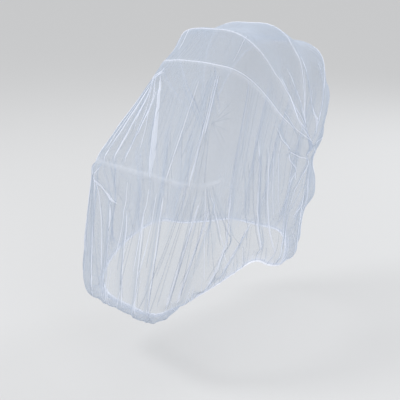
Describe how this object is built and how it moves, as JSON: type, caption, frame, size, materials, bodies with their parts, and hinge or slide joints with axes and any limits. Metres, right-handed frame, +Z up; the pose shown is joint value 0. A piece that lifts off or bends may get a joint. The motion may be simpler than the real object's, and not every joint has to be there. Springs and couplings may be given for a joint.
{
  "type": "stroller mosquito net",
  "caption": "Fitted mosquito net of sheer tulle with an elastic edge, shaped as it hangs over a stroller's hood, knee ledge and foot end.",
  "frame": {"origin": "under the cloth at the top of the hood, on the centre line, where what the net covers holds it up", "axes": "+Z up, -Y towards the foot end, +X to the right seen from the foot end"},
  "size_m": [0.53, 0.8201, 0.8187],
  "materials": {
    "tulle": "sheer, soft, fine hexagonal mesh, faint lavender white",
    "elastic": "matte, ribbed, slightly gathered"
  },
  "bodies": {
    "root": {"net": "tulle", "elastic_edge": "elastic"}
  },
  "joints": []
}
